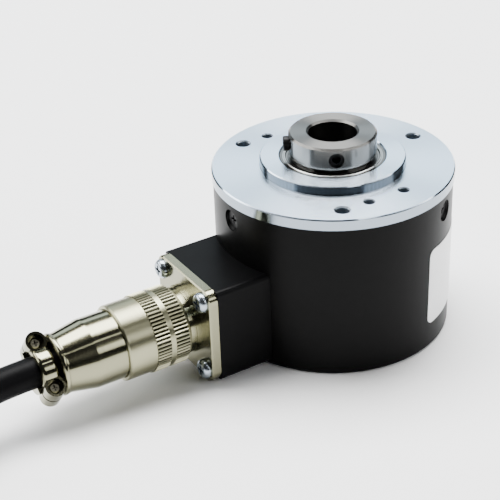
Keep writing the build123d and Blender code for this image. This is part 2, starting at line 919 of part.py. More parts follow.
with BuildPart() as board_standoffs:
    with BuildSketch(Plane.XY.offset(board_z)):
        with Locations(*standoff_places):
            RegularPolygon(standoff_across / 2, 6, major_radius=False)
    extrude(amount=-spigot_depth - board_z)
    with BuildSketch(Plane.XY.offset(-spigot_depth)):
        with Locations(*standoff_places):
            Circle(stud_r)
    extrude(amount=stud_length - guard_gap)
    with BuildSketch(Plane.XY.offset(board_z)):
        with Locations(*standoff_places):
            Circle(board_screw_r + fit_gap)
    extrude(amount=board_screw_length, mode=Mode.SUBTRACT)
finish(board_standoffs, "board_standoffs")

board_screw = screw(
    1.8 * board_screw_r,
    board_t,
    board_screw_r,
    board_screw_length,
    board_screw_r,
)
with BuildPart() as board_screws:
    with Locations(
        *[
            Plane(origin=(x, y, board_bottom), x_dir=(1, 0, 0), z_dir=(0, 0, -1))
            for x, y in standoff_places
        ]
    ):
        add(board_screw)
finish(board_screws, "board_screws")

# Parts soldered under the board: line driver, comparator, regulator and two capacitors
with BuildPart() as board_parts:
    below = (Align.CENTER, Align.CENTER, Align.MAX)
    with Locations((driver_x, driver_y, board_bottom)):
        Box(driver_length, driver_width, chip_t, align=below)
    with Locations((comparator_x, comparator_y, board_bottom)):
        Box(comparator_length, comparator_width, chip_t, align=below)
    with Locations((regulator_x, 0, board_bottom)):
        Box(regulator_length, regulator_width, regulator_t, align=below)
    with Locations(
        (capacitor_x, capacitor_y, board_bottom), (capacitor_x, -capacitor_y, board_bottom)
    ):
        Cylinder(capacitor_r, capacitor_h, align=below)
finish(board_parts, "board_parts")

with BuildPart() as board_header:
    with Locations((-header_reach, 0, board_bottom)):
        Box(
            header_length,
            header_width,
            header_h,
            align=(Align.MIN, Align.CENTER, Align.MAX),
        )
finish(board_header, "board_header")

# Ribbon cable from the header through the housing window to the socket's solder pins
ribbon_z = board_bottom - header_h / 2
pin_rear = insert_rear - pin_tail
ribbon_third = (pin_rear - header_reach) / 3
with BuildPart() as ribbon_cable:
    with BuildLine(Plane.XZ) as ribbon_path:
        FilletPolyline(
            (-header_reach, ribbon_z),
            (-header_reach - ribbon_third, ribbon_z),
            (-pin_rear + ribbon_third, connector_z),
            (-pin_rear, connector_z),
            radius=ribbon_bend_r,
        )
    with BuildSketch(Plane(origin=ribbon_path.line @ 0, x_dir=(0, 1, 0), z_dir=(-1, 0, 0))):
        Rectangle(ribbon_width, ribbon_t)
    sweep(path=ribbon_path.line)
finish(ribbon_cable, "ribbon_cable")

# Panel socket: square plate, threaded barrel and a rear skirt in the block's bore
with BuildPart() as socket_shell:
    with BuildSketch(facing(block_reach)):
        RectangleRounded(plate_size, plate_size, plate_corner_r)
    extrude(amount=plate_t)
    chamfer(socket_shell.faces().sort_by(Axis.X)[0].edges(), edge_break)
    with BuildSketch(connector_plane):
        with BuildLine():
            Polyline(
                (block_reach - socket_rear_length, 0),
                (block_reach - socket_rear_length, socket_rear_r),
                (block_reach, socket_rear_r),
                (block_reach, barrel_r),
                (plate_face + barrel_step_length, barrel_r),
                (plate_face + barrel_step_length, barrel_step_r),
                (nut_front - guard_gap, barrel_step_r),
                (nut_front - guard_gap, thread_r),
                (socket_end, thread_r),
                (socket_end, 0),
                close=True,
            )
        make_face()
    revolve(axis=connector_axis)
    with BuildSketch(facing(insert_rear)):
        Circle(socket_bore_r)
    extrude(amount=socket_end, mode=Mode.SUBTRACT)
    with BuildSketch(facing(insert_rear)):
        Circle(socket_tail_bore_r)
    extrude(amount=-block_reach, mode=Mode.SUBTRACT)
    with BuildSketch(facing(block_reach)):
        with GridLocations(plate_screw_spread, plate_screw_spread, 2, 2):
            Circle(plate_screw_r + 2 * running_gap)
    extrude(amount=plate_t, mode=Mode.SUBTRACT)
finish(socket_shell, "socket_shell")

plate_screw = screw(
    plate_screw_head_r,
    plate_screw_head_h,
    plate_screw_r,
    plate_screw_length,
    0.55 * plate_screw_head_r,
)
with BuildPart() as socket_screws:
    with Locations(facing(plate_face)):
        with GridLocations(plate_screw_spread, plate_screw_spread, 2, 2):
            add(plate_screw)
finish(socket_screws, "socket_screws")

# Socket insert and its pins: a ring of pins round a middle one
with BuildPart() as socket_insert:
    with BuildSketch(facing(insert_rear)):
        Circle(socket_bore_r - fit_gap)
        Circle(pin_r + fit_gap, mode=Mode.SUBTRACT)
        with PolarLocations(pin_circle_r, pin_count):
            Circle(pin_r + fit_gap, mode=Mode.SUBTRACT)
    extrude(amount=insert_t)
finish(socket_insert, "socket_insert")
with BuildPart() as socket_pins:
    with BuildSketch(facing(pin_rear)):
        Circle(pin_r)
        with PolarLocations(pin_circle_r, pin_count):
            Circle(pin_r)
    extrude(amount=pin_tail + insert_t + pin_reach)
finish(socket_pins, "socket_pins")

# Coupling nut: threaded front, inner shoulder, rear skirt and two knurled bands outside
nut_bore_r = thread_r + running_gap
nut_shoulder_r = plug_thread_r + running_gap
nut_skirt_r = shell_r + 2 * running_gap
nut_nose_end = nut_front + nut_nose_length
band_start = nut_nose_end + knurl_width
band_end = band_start + knurl_band_gap
with BuildPart() as coupling_nut:
    with BuildSketch(connector_plane):
        with BuildLine():
            Polyline(
                (nut_front, nut_bore_r),
                (nut_front, nut_nose_r),
                (nut_nose_end, nut_r),
                (nut_rear - edge_break, nut_r),
                (nut_rear, nut_r - edge_break),
                (nut_rear, nut_skirt_r),
                (nut_shoulder_front + nut_shoulder_t, nut_skirt_r),
                (nut_shoulder_front + nut_shoulder_t, nut_shoulder_r),
                (nut_shoulder_front, nut_shoulder_r),
                (nut_shoulder_front, nut_bore_r),
                close=True,
            )
        make_face()
        with Locations(((band_start + band_end) / 2, (nut_r + nut_skirt_r) / 2)):
            Rectangle(knurl_band_gap, 2 * nut_band_r - nut_r - nut_skirt_r)
    revolve(axis=connector_axis)
    for start in (nut_nose_end, band_end):
        with BuildSketch(facing(start)):
            Circle(knurl_r)
            with PolarLocations(knurl_r, knurl_teeth):
                Rectangle(
                    2**0.5 * knurl_depth, 2**0.5 * knurl_depth, 45, mode=Mode.SUBTRACT
                )
            Circle(nut_r - edge_break, mode=Mode.SUBTRACT)
        extrude(amount=knurl_width)
finish(coupling_nut, "coupling_nut")

# Plug barrel: slides into the socket, its collar is pressed home by the nut's shoulder
lock_groove_r = plug_thread_r - plug_lock_groove
barrel_rear = shell_front + plug_thread_length
plug_barrel = turned(
    [
        (plug_front, plug_barrel_bore_r),
        (plug_front, plug_barrel_r),
        (plug_collar_front, plug_barrel_r),
        (plug_collar_front, plug_collar_r),
        (plug_collar_rear, plug_collar_r),
        (plug_collar_rear, plug_thread_r),
        (lock_ring_front, plug_thread_r),
        (lock_ring_front, lock_groove_r),
        (lock_ring_rear, lock_groove_r),
        (lock_ring_rear, plug_thread_r),
        (barrel_rear, plug_thread_r),
        (barrel_rear, plug_barrel_bore_r),
    ],
    connector_plane,
    connector_axis,
)
finish(plug_barrel, "plug_barrel")

# Snap ring behind the nut's shoulder, so that the nut also draws the plug out
with BuildPart() as plug_lock_ring:
    with BuildSketch(facing(lock_ring_front)):
        Circle(plug_lock_ring_r)
        Circle(lock_groove_r + fit_gap, mode=Mode.SUBTRACT)
        with Locations((0, -plug_lock_ring_r)):
            Rectangle(
                plug_lock_ring_opening, plug_lock_ring_r, mode=Mode.SUBTRACT
            )
    extrude(amount=plug_lock_ring_t)
finish(plug_lock_ring, "plug_lock_ring")

# Plug insert and its sleeve contacts
plug_insert_front = plug_front + plug_insert_recess
with BuildPart() as plug_insert:
    with BuildSketch(facing(plug_insert_front)):
        Circle(plug_barrel_bore_r - fit_gap)
        Circle(contact_r + fit_gap, mode=Mode.SUBTRACT)
        with PolarLocations(pin_circle_r, pin_count):
            Circle(contact_r + fit_gap, mode=Mode.SUBTRACT)
    extrude(amount=plug_insert_t)
finish(plug_insert, "plug_insert")
with BuildPart() as plug_contacts:
    with BuildSketch(facing(plug_insert_front)):
        Circle(contact_r)
        with PolarLocations(pin_circle_r, pin_count):
            Circle(contact_r)
    extrude(amount=contact_length)
    with BuildSketch(facing(plug_insert_front)):
        Circle(pin_r + running_gap)
        with PolarLocations(pin_circle_r, pin_count):
            Circle(pin_r + running_gap)
    extrude(amount=insert_front + pin_reach + guard_gap - plug_insert_front, mode=Mode.SUBTRACT)
finish(plug_contacts, "plug_contacts")


def clamp_section(station):
    """A plane across the cable at the clamp, y towards the clamp's screw heads."""
    tilt = radians(clamp_tilt)
    return Plane(
        origin=(-station, 0, connector_z),
        x_dir=(0, -cos(tilt), -sin(tilt)),
        z_dir=(-1, 0, 0),
    )


def clamp_level(height):
    """A plane that faces the clamp's screw heads at a height over the cable's middle."""
    tilt = radians(clamp_tilt)
    up = Vector(0, -sin(tilt), cos(tilt))
    return Plane(
        origin=Vector(-clamp_mid, 0, connector_z) + up * height,
        x_dir=(0, cos(tilt), sin(tilt)),
        z_dir=up,
    )


# Backshell: cylinder, cone and rim, with the lower half of the cable clamp on its end
bush_start = cone_end - bush_length
bush_end = shell_end - shell_rim_t
with BuildPart() as backshell:
    with BuildSketch(connector_plane):
        with BuildLine():
            Polyline(
                (shell_front, plug_thread_r + fit_gap),
                (shell_front, shell_r),
                (cone_start, shell_r),
                (cone_end, shell_nose_r),
                (cone_end, shell_rim_r),
                (shell_end, shell_rim_r),
                (shell_end, bush_lip_r),
                (bush_end, bush_lip_r),
                (bush_end, bush_r + fit_gap),
                (bush_start, bush_r + fit_gap),
                (cone_start, shell_r - shell_wall),
                (barrel_rear + fit_gap, shell_r - shell_wall),
                (barrel_rear + fit_gap, plug_thread_r + fit_gap),
                close=True,
            )
        make_face()
    revolve(axis=connector_axis)
    with BuildSketch(clamp_section(shell_end)):
        Circle(clamp_arch_r)
        with Locations((0, -clamp_split)):
            Rectangle(
                4 * clamp_arch_r,
                2 * clamp_arch_r,
                align=(Align.CENTER, Align.MIN),
                mode=Mode.SUBTRACT,
            )
    extrude(amount=clamp_length)
    with BuildSketch(clamp_level(-clamp_split)):
        with GridLocations(2 * clamp_boss_offset, 1, 2, 1):
            Circle(clamp_boss_r)
    extrude(amount=clamp_split - clamp_boss_h)
    with BuildSketch(facing(shell_end)):
        Circle(cable_r + fit_gap)
    extrude(amount=clamp_length, mode=Mode.SUBTRACT)
    with BuildSketch(clamp_level(-clamp_split)):
        with GridLocations(2 * clamp_boss_offset, 1, 2, 1):
            Circle(clamp_bolt_r + fit_gap)
    extrude(amount=clamp_split - clamp_boss_h, mode=Mode.SUBTRACT)
finish(backshell, "backshell")

# Upper half of the clamp: an arch over the cable between two bosses with sunk screws
clamp_seat = clamp_boss_h - clamp_bolt_recess
with BuildPart() as clamp_saddle:
    with BuildSketch(clamp_section(clamp_mid - clamp_waist / 2)):
        Circle(clamp_arch_r)
        with Locations((0, clamp_split)):
            Rectangle(
                4 * clamp_arch_r,
                2 * clamp_arch_r,
                align=(Align.CENTER, Align.MAX),
                mode=Mode.SUBTRACT,
            )
    extrude(amount=clamp_waist)
    fillet(clamp_saddle.edges().filter_by(GeomType.CIRCLE), clamp_rounding)
    with BuildSketch(clamp_level(clamp_split)):
        with GridLocations(2 * clamp_boss_offset, 1, 2, 1):
            Circle(clamp_boss_r)
    extrude(amount=clamp_boss_h - clamp_split)
    with BuildSketch(facing(shell_end)):
        Circle(cable_r + fit_gap)
    extrude(amount=clamp_length, mode=Mode.SUBTRACT)
    with BuildSketch(clamp_level(clamp_seat)):
        with GridLocations(2 * clamp_boss_offset, 1, 2, 1):
            Circle(clamp_pocket_r)
    extrude(amount=clamp_arch_r, mode=Mode.SUBTRACT)
    with BuildSketch(clamp_level(0)):
        with GridLocations(2 * clamp_boss_offset, 1, 2, 1):
            Circle(clamp_bolt_r + running_gap)
    extrude(amount=clamp_arch_r, mode=Mode.SUBTRACT)
finish(clamp_saddle, "clamp_saddle")

clamp_bolt = screw(
    clamp_bolt_head_r,
    clamp_bolt_head_h,
    clamp_bolt_r,
    clamp_bolt_length,
    clamp_bolt_head_r / 2,
)
with BuildPart() as clamp_screws:
    with Locations(clamp_level(clamp_seat)):
        with GridLocations(2 * clamp_boss_offset, 1, 2, 1):
            add(clamp_bolt)
finish(clamp_screws, "clamp_screws")

# Rubber bush that seals the cable in the cone
cable_bush = turned(
    [
        (bush_start, cable_r + fit_gap),
        (bush_start, bush_r),
        (bush_end, bush_r),
        (bush_end, cable_r + fit_gap),
    ],
    connector_plane,
    connector_axis,
)
finish(cable_bush, "cable_bush")

# The cable's jacket inside the plug, and the wires that join it to the contacts
jacket_start = barrel_rear + jacket_setback
with BuildPart() as cable_in_plug:
    with BuildSketch(facing(jacket_start)):
        Circle(cable_r)
    extrude(amount=clamp_end - jacket_start)
finish(cable_in_plug, "cable_in_plug")


def fan(start, end, start_r, end_r, count, thickness):
    """Straight wires between two parallel planes, one in the middle and a ring round it."""
    turns = [2 * pi * i / count for i in range(count)]
    spots = [(0, 0)] + [(cos(turn), sin(turn)) for turn in turns]
    with BuildPart() as wires:
        for x, y in spots:
            for plane, ring_r in ((start, start_r), (end, end_r)):
                with BuildSketch(plane):
                    with Locations((ring_r * x, ring_r * y)):
                        Circle(thickness)
            loft()
    return wires


contact_rear = plug_insert_front + contact_length
plug_wires = fan(
    facing(contact_rear),
    facing(jacket_start),
    pin_circle_r,
    lead_circle_r,
    pin_count,
    lead_r,
)
finish(plug_wires, "plug_wires")

# Cable from the clamp down to the surface, in an S as far as the coil
lay = cable_r - body_depth
drop = connector_z - lay
route = [
    (-clamp_end, 0, connector_z),
    (-94.0, 0, connector_z),
    (-105.22, -2.38, connector_z - 0.089 * drop),
    (-115.6, -7.01, connector_z - 0.269 * drop),
    (-124.72, -13.64, connector_z - 0.5 * drop),
    (-134.81, -18.67, connector_z - 0.731 * drop),
    (-145.68, -21.99, connector_z - 0.911 * drop),
    (-157.05, -23.12, lay),
]


def bend_radii(points):
    """The largest arc at each corner that leaves a tenth of its shorter run straight."""
    radii = []
    for before, corner, after in zip(points, points[1:], points[2:]):
        come = Vector(*corner) - Vector(*before)
        go = Vector(*after) - Vector(*corner)
        half_turn = radians(come.get_angle(go)) / 2
        radii.append(0.45 * min(come.length, go.length) / tan(half_turn))
    return radii


radii = bend_radii(route)
print("cable bend radii", [round(r, 1) for r in radii])
with BuildPart() as cable_tube:
    with BuildLine() as cable_path:
        FilletPolyline(*route, radius=radii)
    with BuildSketch(Plane(origin=route[0], z_dir=cable_path.line % 0)):
        Circle(cable_r)
    sweep(path=cable_path.line)
cable_run = cable_path.wire().length
print("cable run", round(cable_run, 1), "volume", round(cable_tube.part.volume, 1))
print("section times length", round(pi * cable_r**2 * cable_run, 1))
finish(cable_tube, "cable_tube")


# Coil of the rest of the cable: two turns side by side, then two more on top of them
coil_x = route[-1][0]
coil_y = route[-1][1] + coil_turn_r
inner_turn_r = coil_turn_r - cable_d
coil_axis = Axis((coil_x, coil_y, lay), (0, 0, 1))
low_turns = [(inner_turn_r, 0), (coil_turn_r, 0)]
inner_turns = [(inner_turn_r, 0), (inner_turn_r, cable_d)]
all_turns = low_turns + [(inner_turn_r, cable_d), (coil_turn_r, cable_d)]
hump = (coil_turn_r - cable_r, 2**0.5 * cable_d)
lead_arc = degrees(lead_length / coil_turn_r)
tie_arc = degrees(tie_width / coil_turn_r)
groove_arc = degrees((tie_width + 4 * running_gap) / coil_turn_r)
gap_arc = degrees(guard_gap / coil_turn_r)
lead_end_angle = cable_end_angle - lead_arc
hump_arc = lead_end_angle - gap_arc - hump_start_angle


def coil_plane(angle):
    """An upright plane through the coil's axis, x outwards, y up from the bottom turns' middle."""
    out = Vector(cos(radians(angle)), sin(radians(angle)), 0)
    side = Vector(sin(radians(angle)), -cos(radians(angle)), 0)
    return Plane(origin=(coil_x, coil_y, lay), x_dir=out, z_dir=side)


def coil_outline(*turns):
    """The outline round some of the coil's turns, each given by its radius and its height."""
    with Locations(*turns):
        Circle(cable_r)
    make_hull()


with BuildPart() as cable_coil:
    with BuildSketch(coil_plane(0)):
        coil_outline(*low_turns)
    revolve(axis=coil_axis)
    with BuildSketch(coil_plane(0)):
        coil_outline(*inner_turns)
    revolve(axis=coil_axis)
    with BuildSketch(coil_plane(cable_end_angle)):
        coil_outline(*all_turns)
    revolve(axis=coil_axis, revolution_arc=360 - cable_end_angle + hump_start_angle)
    with BuildSketch(coil_plane(hump_start_angle)):
        coil_outline(*all_turns, hump)
    revolve(axis=coil_axis, revolution_arc=hump_arc)
    with BuildSketch(coil_plane(tie_angle - groove_arc / 2)):
        coil_outline(*all_turns)
        offset(amount=-tie_t - 2 * running_gap, mode=Mode.SUBTRACT)
    revolve(axis=coil_axis, revolution_arc=groove_arc, mode=Mode.SUBTRACT)
finish(cable_coil, "cable_coil")

# Strap tied round the coil
with BuildPart() as cable_tie:
    with BuildSketch(coil_plane(tie_angle - tie_arc / 2)):
        coil_outline(*all_turns)
        offset(amount=-tie_t, mode=Mode.SUBTRACT)
    revolve(axis=coil_axis, revolution_arc=tie_arc)
finish(cable_tie, "cable_tie")

# Loose wires at the cable's bare end, in the place of the top turn that ends there
with BuildPart() as cable_leads:
    with BuildSketch(coil_plane(lead_end_angle)):
        with Locations((coil_turn_r, cable_d)):
            Circle(lead_r)
            with PolarLocations(lead_circle_r, pin_count):
                Circle(lead_r)
    revolve(axis=coil_axis, revolution_arc=lead_arc)
finish(cable_leads, "cable_leads")
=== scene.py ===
"""Looks of a hollow shaft rotary encoder with a cable plug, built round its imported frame.

Everything is in metres. The origin is on the shaft's axis, level with the flange's mounting face:
+Z points to the clamping collar, and the connector leaves towards -X.
"""

from math import cos, pi, radians, sin

import bpy
import numpy as np
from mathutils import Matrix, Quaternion, Vector


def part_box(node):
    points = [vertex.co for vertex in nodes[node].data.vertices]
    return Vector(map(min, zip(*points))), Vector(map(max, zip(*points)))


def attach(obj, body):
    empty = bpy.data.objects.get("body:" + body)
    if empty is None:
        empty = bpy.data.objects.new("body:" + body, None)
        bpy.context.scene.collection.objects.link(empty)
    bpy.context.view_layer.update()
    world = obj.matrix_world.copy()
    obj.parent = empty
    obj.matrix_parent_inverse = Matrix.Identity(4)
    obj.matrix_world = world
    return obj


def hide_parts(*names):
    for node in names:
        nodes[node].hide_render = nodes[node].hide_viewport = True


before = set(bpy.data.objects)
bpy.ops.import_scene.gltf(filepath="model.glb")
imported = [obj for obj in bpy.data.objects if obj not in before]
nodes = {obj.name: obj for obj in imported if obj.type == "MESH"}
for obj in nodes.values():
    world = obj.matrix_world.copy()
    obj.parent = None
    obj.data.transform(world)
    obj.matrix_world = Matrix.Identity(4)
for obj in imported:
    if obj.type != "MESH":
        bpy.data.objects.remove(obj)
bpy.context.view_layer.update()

# Studio: a white sweep under the encoder in a dark room. A soft box hangs above, a bluish panel
# stands behind, one at each side, and a narrow strip on the camera's side draws lines on the metal.


def add_object(name, data):
    """An object of the scene that holds a mesh, a curve, a lamp or a camera."""
    thing = bpy.data.objects.new(name, data)
    bpy.context.scene.collection.objects.link(thing)
    return thing


# The camera stands where a fit to the ellipses of flange, collar, housing and connector puts it.
azimuth, elevation, roll = radians(-31.0), radians(30.296), radians(-2.155)
camera_data = bpy.data.cameras.new("camera")
camera_data.sensor_width = 36.0
camera_data.lens = 94.75
camera_data.clip_start = 0.01
camera_data.clip_end = 20.0
camera = add_object("camera", camera_data)
bpy.context.scene.camera = camera
back = Vector((sin(azimuth) * cos(elevation), -cos(azimuth) * cos(elevation), sin(elevation)))
camera.location = (-0.16797, -0.23844, 0.14560)
camera.rotation_mode = "QUATERNION"
camera.rotation_quaternion = back.to_track_quat("Z", "Y") @ Quaternion((0, 0, 1), roll)


def soft_box(name, place, width, height, brightness, colour=(1.0, 1.0, 1.0)):
    """A panel of even light, turned to face the encoder: its power is its area times pi times
    the brightness that it shows."""
    light = bpy.data.lights.new(name, "AREA")
    light.shape = "RECTANGLE"
    light.size = width
    light.size_y = height
    light.color = colour
    light.energy = pi * width * height * brightness
    lamp = add_object(name, light)
    aim = Vector((-0.02, 0.0, -0.02))
    lamp.location = place
    lamp.rotation_mode = "QUATERNION"
    lamp.rotation_quaternion = (Vector(place) - aim).to_track_quat("Z", "Y")


soft_box("top_box", (0.15, 0.40, 1.25), 1.7, 0.8, 20.0)
soft_box("back_panel", (0.75, 1.25, 0.76), 2.2, 0.42, 3.0, (0.80, 0.92, 1.0))
soft_box("left_panel", (-1.15, 0.85, 0.80), 1.7, 0.5, 8.0)
soft_box("right_panel", (1.0, -1.05, 0.80), 1.6, 0.5, 5.0)
soft_box("front_strip", (0.13, -0.62, 1.02), 0.35, 0.07, 9.0)

room = bpy.data.worlds.new("dark_room")
bpy.context.scene.world = room
room.use_nodes = True
room.node_tree.nodes["Background"].inputs["Color"].default_value = (0.95, 0.97, 1.0, 1.0)
room.node_tree.nodes["Background"].inputs["Strength"].default_value = 0.03

floor_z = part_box("housing")[0].z


def floor_sheet():
    """The sweep: a flat square grid, so wide that its edge is out of every view."""
    half, steps = 2.5, 9
    line = np.linspace(-half, half, steps)
    x, y = np.meshgrid(line, line, indexing="ij")
    points = np.stack([x, y, np.full_like(x, floor_z)], axis=-1).reshape(-1, 3)
    i, j = np.meshgrid(np.arange(steps - 1), np.arange(steps - 1), indexing="ij")
    corner = (i * steps + j).ravel()
    quads = np.stack([corner, corner + steps, corner + steps + 1, corner + 1], axis=-1)
    mesh = bpy.data.meshes.new("floor")
    mesh.from_pydata(points.tolist(), [], quads.tolist())
    return mesh


def start_finish(name, colour, metallic, roughness):
    """A new material with its plain sockets set, its node tree and its shader."""
    material = bpy.data.materials.new(name)
    material.use_nodes = True
    shader = material.node_tree.nodes["Principled BSDF"]
    shader.inputs["Base Color"].default_value = (*colour, 1.0)
    shader.inputs["Metallic"].default_value = metallic
    shader.inputs["Roughness"].default_value = roughness
    return material, material.node_tree, shader


floor = add_object("floor", floor_sheet())
floor.data.materials.append(start_finish("white_sweep", (0.95, 0.95, 0.95), 0.0, 0.55)[0])

# Front flange: turned from aluminium bar, so its faces carry fine rings that draw the light
# into a fan. It holds the bearings and takes the screws of the machine.
mm = 0.001


def add_node(tree, kind, **values):
    """A node of one kind with its properties and, by name, its input values set."""
    node = tree.nodes.new(kind)
    for key, value in values.items():
        if key in node.inputs:
            node.inputs[key].default_value = value
        else:
            setattr(node, key, value)
    return node


def feed(tree, source, socket):
    """Give a socket what another one puts out, or a plain number, vector or colour."""
    if isinstance(source, bpy.types.NodeSocket):
        tree.links.new(source, socket)
    elif socket.type == "RGBA":
        socket.default_value = (*source, 1.0)
    else:
        socket.default_value = source


def number_step(tree, operation, *values):
    """One step of arithmetic on numbers, each of them plain or a socket."""
    step = add_node(tree, "ShaderNodeMath", operation=operation)
    for value, socket in zip(values, step.inputs):
        feed(tree, value, socket)
    return step.outputs["Value"]


def vector_step(tree, operation, *vectors):
    """One step of arithmetic on vectors, each of them plain or a socket."""
    step = add_node(tree, "ShaderNodeVectorMath", operation=operation)
    for vector, socket in zip(vectors, step.inputs):
        feed(tree, vector, socket)
    return step.outputs["Value" if operation in ("LENGTH", "DOT_PRODUCT") else "Vector"]


def within(tree, value, bounds):
    """1 where a value lies between two bounds, and 0 elsewhere."""
    low, high = bounds
    return number_step(tree, "COMPARE", value, (low + high) / 2, (high - low) / 2)


def mixed(tree, share, first, second, kind="RGBA"):
    """A mix of two colours, or as FLOAT of two numbers: the first where the share is 0, the
    second where it is 1."""
    mix = add_node(tree, "ShaderNodeMix", data_type=kind)
    feed(tree, share, mix.inputs["Factor"])
    feed(tree, first, mix.inputs["A"])
    feed(tree, second, mix.inputs["B"])
    return mix.outputs["Result"]


def spread(tree, source, low, high):
    """A value from 0 to 1 stretched to lie between low and high."""
    scale = add_node(tree, "ShaderNodeMapRange")
    scale.inputs["To Min"].default_value = low
    scale.inputs["To Max"].default_value = high
    tree.links.new(source, scale.inputs["Value"])
    return scale.outputs["Result"]


def relief(tree, shader, source, depth, strength):
    """Bumps of the given depth in metres on the shader's normal."""
    bump = add_node(tree, "ShaderNodeBump", Strength=strength, Distance=depth)
    tree.links.new(source, bump.inputs["Height"])
    tree.links.new(bump.outputs["Normal"], shader.inputs["Normal"])


def painted_light_ramp(tree, reach, colour, tones):
    """A colour by the distance from an axis, painting shade and highlights: pairs of a radius in
    millimetres and the share of the colour there, small where shade is painted in a groove or on a
    wall."""
    inner, outer = tones[0][0], tones[-1][0]
    scale = add_node(tree, "ShaderNodeMapRange")
    scale.inputs["From Min"].default_value = inner * mm
    scale.inputs["From Max"].default_value = outer * mm
    ramp = add_node(tree, "ShaderNodeValToRGB")
    elements = ramp.color_ramp.elements
    while len(elements) < len(tones):
        elements.new(1.0)
    for element, (radius, share) in zip(elements, tones):
        element.position = (radius - inner) / (outer - inner)
        element.color = (*[share * c for c in colour], 1.0)
    tree.links.new(reach, scale.inputs["Value"])
    tree.links.new(scale.outputs["Result"], ramp.inputs["Fac"])
    return ramp.outputs["Color"]


def turned_finish(
    name,
    colour,
    roughness,
    along="Z",
    centre=(0.0, 0.0, 0.0),
    ring=0.12 * mm,
    wall=1.0,
    tones=None,
    toned=None,
    drilled=None,
):
    """Turned metal: rings of the given width round an axis through the centre, whose gloss is
    drawn out across them. Walls have the wall share of the faces' roughness. The painted shade and
    highlights by radius hold between the two heights of the span given, or everywhere. Between the
    two radii of drilled, walls are those of bores, which are less smooth and are painted darker as
    shade."""
    material, tree, shader = start_finish(name, colour, 1.0, roughness)
    shader.inputs["Anisotropic"].default_value = 0.88
    place = add_node(tree, "ShaderNodeTexCoord")
    axis = {"X": (1.0, 0.0, 0.0), "Z": (0.0, 0.0, 1.0)}[along]
    from_centre = vector_step(tree, "SUBTRACT", place.outputs["Object"], centre)
    outwards = vector_step(tree, "MULTIPLY", from_centre, tuple(1.0 - a for a in axis))
    reach = vector_step(tree, "LENGTH", outwards)
    height = vector_step(tree, "DOT_PRODUCT", from_centre, axis)
    rings = add_node(tree, "ShaderNodeTexNoise", noise_dimensions="1D", Scale=1.0 / ring, Detail=3.0)
    feed(tree, number_step(tree, "ADD", reach, height), rings.inputs["W"])
    relief(tree, shader, rings.outputs["Fac"], 0.006 * mm, 0.4)

    around = vector_step(tree, "CROSS_PRODUCT", axis, outwards)
    across = vector_step(tree, "CROSS_PRODUCT", place.outputs["Normal"], around)
    tangent = add_node(tree, "ShaderNodeVectorTransform", convert_from="OBJECT", convert_to="WORLD")
    feed(tree, across, tangent.inputs["Vector"])
    feed(tree, tangent.outputs["Vector"], shader.inputs["Tangent"])

    flatness = vector_step(tree, "DOT_PRODUCT", place.outputs["Normal"], axis)
    flatness = number_step(tree, "ABSOLUTE", flatness)
    gloss = spread(tree, flatness, wall * roughness, roughness)
    gloss = number_step(tree, "MULTIPLY", gloss, spread(tree, rings.outputs["Fac"], 0.75, 1.35))
    # Painted shade and highlights in circles by radius, kept to a span of heights if one is given.
    paint = painted_light_ramp(tree, reach, colour, tones) if tones else colour
    if toned:
        paint = mixed(tree, within(tree, height, toned), colour, paint)
    if drilled:
        # Bore walls are rougher, and their colour is darkened as painted shade.
        bore_roughness, bore_painted_shade, wall_below = 0.32, 0.3, 0.9
        steep = number_step(tree, "LESS_THAN", flatness, wall_below)
        in_bore = number_step(tree, "MULTIPLY", within(tree, reach, drilled), steep)
        gloss = mixed(tree, in_bore, gloss, bore_roughness, "FLOAT")
        paint = mixed(tree, in_bore, paint, tuple(bore_painted_shade * c for c in colour))
    feed(tree, gloss, shader.inputs["Roughness"])
    feed(tree, paint, shader.inputs["Base Color"])
    return material


def dress(finish, *names):
    """Give CAD nodes a finish in place of their plain one."""
    for name in names:
        mesh = nodes[name].data
        mesh.materials.clear()
        mesh.materials.append(finish)


# Painted shade: the pilot's wall, at 18 mm, and the rim, past 29.9 mm, are painted darker than the
# faces, and the bores between them are too.
flange_tones = [(17.8, 1.0), (17.95, 0.12), (18.02, 0.12), (18.1, 1.0), (29.75, 1.0), (29.95, 0.4)]
flange_finish = turned_finish(
    "turned_aluminium",
    (0.70, 0.82, 0.95),
    0.23,
    wall=0.4,
    tones=flange_tones,
    drilled=(18.5 * mm, 28.5 * mm),
)
dress(flange_finish, "front_flange")

# Ball bearings: two shielded bearings, ground steel rings, polished balls, pressed cages and
# shields. The rings sit in the flange's bore and on the shaft, with a spacer and a spring washer.


def cloud(tree, size, detail=4.0):
    """Soft noise in the piece's own space, with blotches of about the given size in metres."""
    place = add_node(tree, "ShaderNodeTexCoord")
    noise = add_node(tree, "ShaderNodeTexNoise", Scale=1.0 / size, Detail=detail)
    tree.links.new(place.outputs["Object"], noise.inputs["Vector"])
    return noise.outputs["Fac"]


def clouded_finish(
    name, colour, metallic, roughness, blotch, shares, grain, depth, strength, shine=0.5, detail=4.0
):
    """A finish with clouds in its gloss and a fine grain. The clouds' size is the blotch, and
    they take the roughness from the first to the second of the two shares of it. Grain is the
    size of the bumps, depth how far they stand out."""
    material, tree, shader = start_finish(name, colour, metallic, roughness)
    shader.inputs["Specular IOR Level"].default_value = shine
    gloss = spread(tree, cloud(tree, blotch), shares[0] * roughness, shares[1] * roughness)
    feed(tree, gloss, shader.inputs["Roughness"])
    relief(tree, shader, cloud(tree, grain, detail), depth, strength)
    return material


def ground_finish(name, colour, roughness, blotch=4.0 * mm):
    """Ground or pressed steel: faint clouding in its gloss and a trace of grain."""
    return clouded_finish(
        name, colour, 1.0, roughness, blotch, (0.8, 1.3), 0.4 * mm, 0.006 * mm, 0.25
    )
